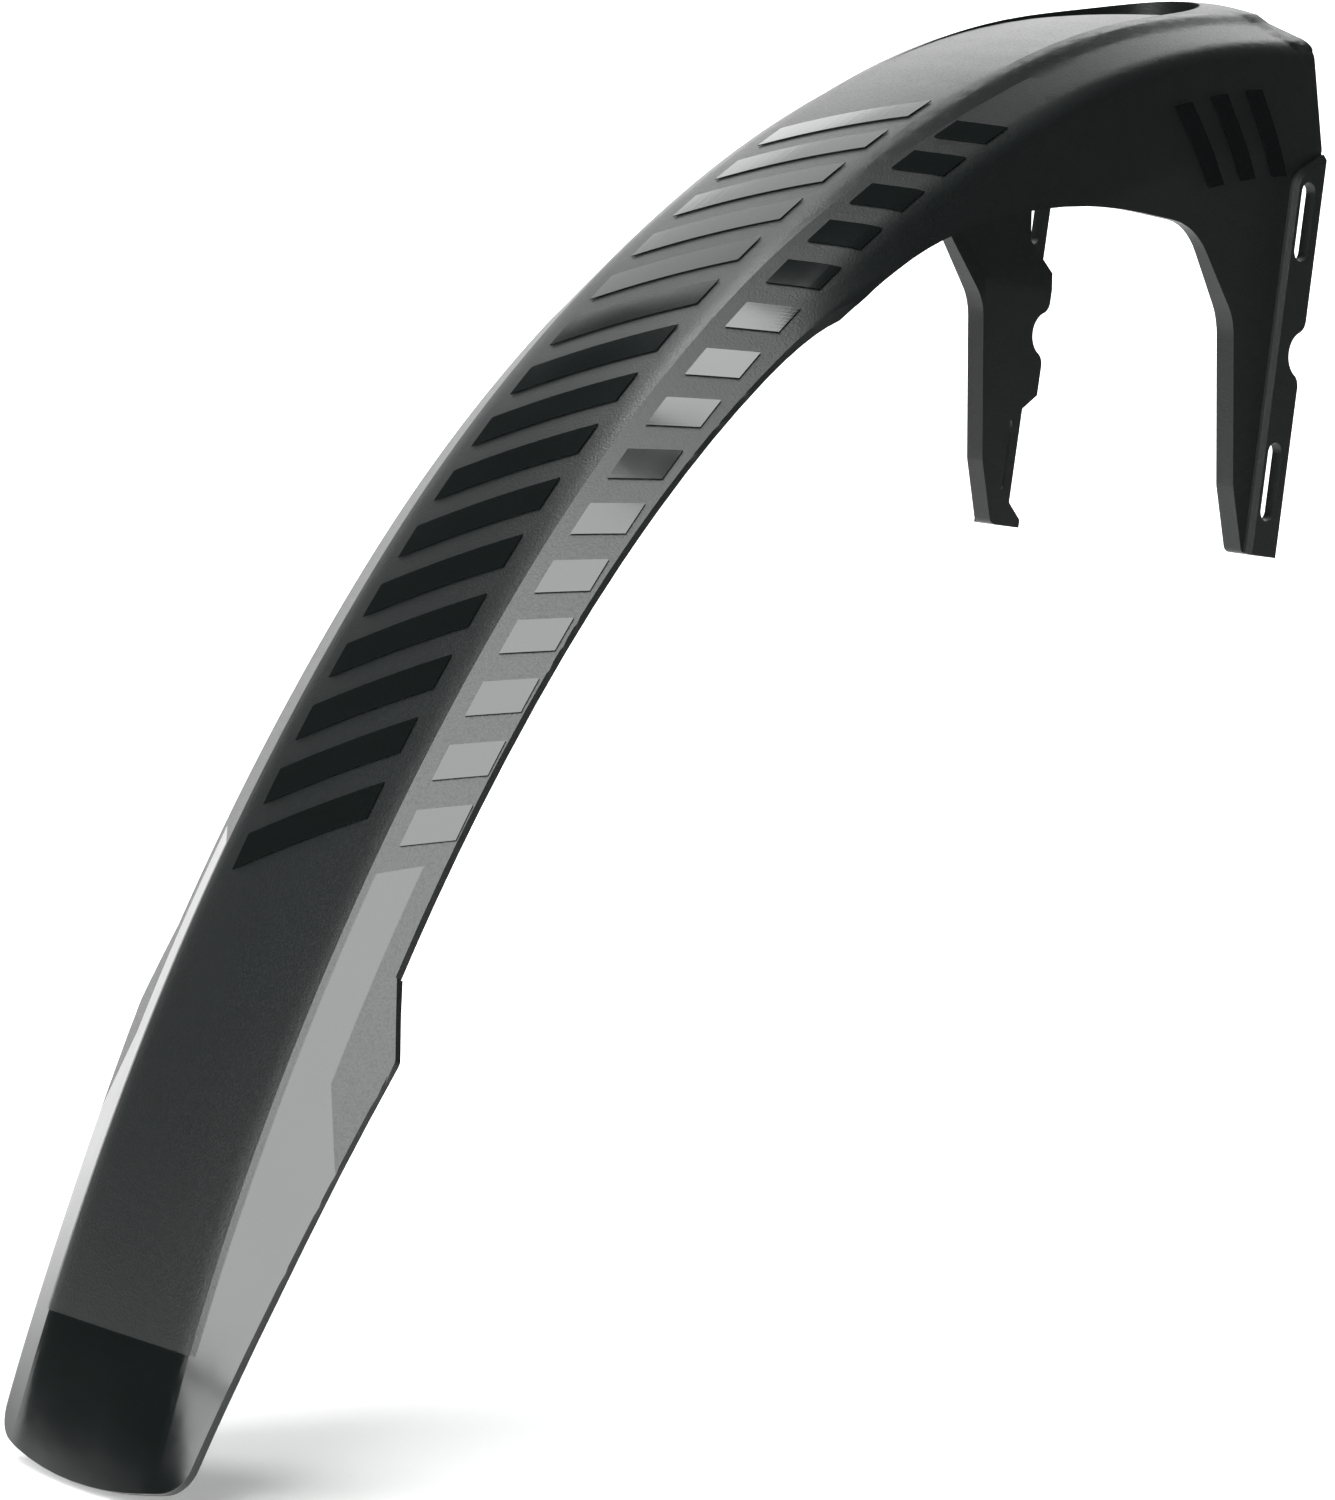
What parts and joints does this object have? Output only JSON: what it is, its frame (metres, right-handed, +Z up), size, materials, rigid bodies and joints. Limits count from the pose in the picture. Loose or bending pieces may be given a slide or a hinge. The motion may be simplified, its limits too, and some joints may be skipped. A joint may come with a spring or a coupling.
{
  "type": "bicycle mudguard",
  "caption": "Black plastic strap-on bicycle mudguard: a curved guard with sloped flanges and a collar with two slotted legs.",
  "frame": {"origin": "centre of the bounding box", "axes": "+Z up along the strap slots, +X from the tail to the legs, +Y across to the left leg"},
  "size_m": [0.3164, 0.094, 0.3756],
  "materials": {
    "black_plastic": "fine spark-eroded grain with polished areas"
  },
  "bodies": {
    "root": {"mudguard": "black_plastic"}
  },
  "joints": []
}
